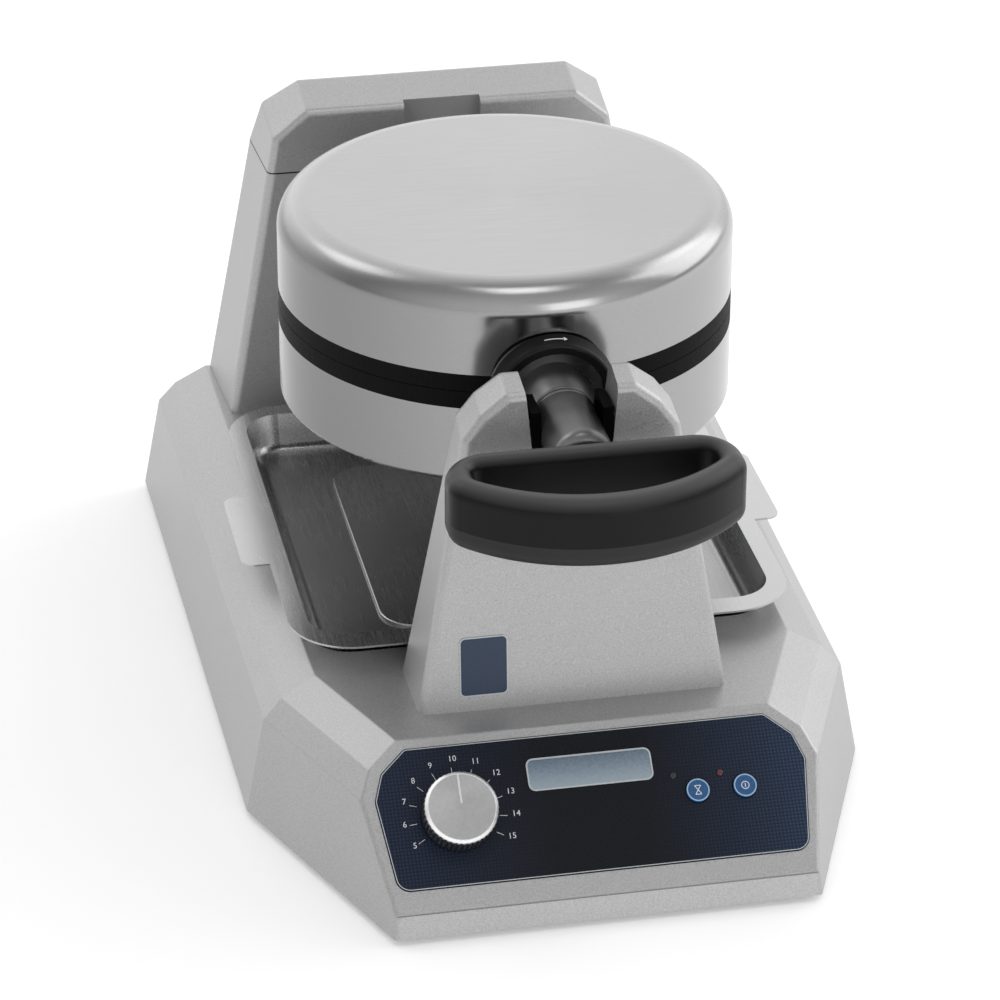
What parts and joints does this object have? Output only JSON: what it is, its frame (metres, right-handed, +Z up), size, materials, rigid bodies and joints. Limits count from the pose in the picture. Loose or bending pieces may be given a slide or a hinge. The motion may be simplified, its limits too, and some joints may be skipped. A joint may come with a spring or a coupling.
{
  "type": "ice cream panini press",
  "caption": "Countertop ice cream panini press: a round heated head turns over between a cradle and a tower, and its lid opens on a hinge.",
  "frame": {"origin": "on the table, under the middle of the base", "axes": "+X right, +Y from the control panel towards the tower, +Z up"},
  "size_m": [0.28, 0.424, 0.2308],
  "materials": {
    "silver_paint": "fine-textured satin silver paint on cast aluminium",
    "sheet_steel": "plain galvanised sheet",
    "stainless": "brushed stainless sheet",
    "tray_steel": "polished stainless pan",
    "screw_steel": "plain steel",
    "shaft_steel": "ground steel",
    "bronze": "sintered bronze",
    "black_rubber": "matte rubber",
    "panel_print": "printed film on a plate, navy with a fine grid",
    "circuit_board": "green board",
    "black_plastic": "matte moulding",
    "black_phenolic": "heat-proof moulding with a fine grain",
    "grey_casting": "dark grey satin casting",
    "nonstick": "dark non-stick coat on cast aluminium",
    "element_steel": "heat-darkened steel tube",
    "wool_board": "ceramic wool board",
    "bare_aluminium": "turned and brushed",
    "white_line": "white filled line",
    "white_plastic": "terminal moulding",
    "blue_button": "blue moulding with a white icon",
    "red_lens": "red light pipe",
    "bracket_steel": "grey cast bracket"
  },
  "bodies": {
    "base": {"base_housing": "silver_paint", "base_plate": "sheet_steel", "base_plate_screws": "screw_steel", "rubber_feet": "black_rubber", "control_panel": "panel_print", "control_board": "circuit_board", "timer_potentiometer": "black_plastic", "tact_switches": "black_plastic", "ready_light_lens": "red_lens", "power_light_lens": "red_lens", "front_cradle": "silver_paint", "cradle_bearing": "black_plastic", "bearing_screws": "screw_steel", "cradle_bolts": "screw_steel", "rear_tower": "silver_paint", "tower_cap": "silver_paint", "tower_cap_screws": "screw_steel", "tower_bolts": "screw_steel", "bearing_pedestal": "bare_aluminium", "rotor_bushes": "bronze", "power_board": "circuit_board", "power_relay": "black_plastic", "terminal_block": "white_plastic", "cord_gland": "black_plastic"},
    "head": {"rotor_shaft": "shaft_steel", "rotor_retaining_ring": "screw_steel", "rotation_stop_pin": "screw_steel", "hinge_bracket": "bracket_steel", "bracket_bolts": "screw_steel", "hinge_pin": "shaft_steel", "lower_shell": "stainless", "lower_trim_ring": "black_phenolic", "lower_plate": "nonstick", "lower_heating_element": "element_steel", "lower_insulation": "wool_board", "lower_thermostat": "bare_aluminium", "lower_plate_screws": "screw_steel", "lock_keeper": "black_phenolic", "keeper_screws": "screw_steel"},
    "lid": {"lid_shell": "stainless", "upper_trim_ring": "black_phenolic", "upper_plate": "nonstick", "upper_heating_element": "element_steel", "upper_insulation": "wool_board", "upper_thermostat": "bare_aluminium", "upper_plate_screws": "screw_steel", "lid_hinge_arm": "bracket_steel", "hinge_arm_screws": "screw_steel", "handle_stem": "grey_casting", "stem_screws": "screw_steel", "handle_upper_half": "black_phenolic", "handle_lower_half": "black_phenolic", "handle_screws": "screw_steel"},
    "lock_ring": {"lock_collar": "black_phenolic"},
    "tray": {"drip_tray": "tray_steel"},
    "timer": {"timer_knob": "bare_aluminium", "knob_pointer": "white_line", "timer_shaft": "screw_steel"},
    "start": {"start_button": "blue_button"},
    "standby": {"standby_button": "blue_button"}
  },
  "joints": [
    {"name": "head_flip", "type": "hinge", "parent": "base", "child": "head", "pos_m": [0, 0, 0.183], "axis": [0, 1, 0], "range_deg": [0, 180]},
    {"name": "lid_open", "type": "hinge", "parent": "head", "child": "lid", "pos_m": [0, 0.123, 0.203], "axis": [1, 0, 0], "range_deg": [-100, 0]},
    {"name": "lock_turn", "type": "hinge", "parent": "lid", "child": "lock_ring", "pos_m": [0, -0.0902, 0.183], "axis": [0, 1, 0], "range_deg": [0, 40]},
    {"name": "tray_lift", "type": "slide", "parent": "base", "child": "tray", "axis": [0, 0, 1], "range_m": [0, 0.04]},
    {"name": "timer_turn", "type": "hinge", "parent": "base", "child": "timer", "pos_m": [-0.058, -0.1802, 0.0398], "axis": [0, -0.6775, 0.7355], "range_deg": [-120, 120]},
    {"name": "start_press", "type": "slide", "parent": "base", "child": "start", "axis": [0, 0.6775, -0.7355], "range_m": [0, 0.0008], "stiffness_N_per_m": 600},
    {"name": "standby_press", "type": "slide", "parent": "base", "child": "standby", "axis": [0, 0.6775, -0.7355], "range_m": [0, 0.0008], "stiffness_N_per_m": 600}
  ]
}
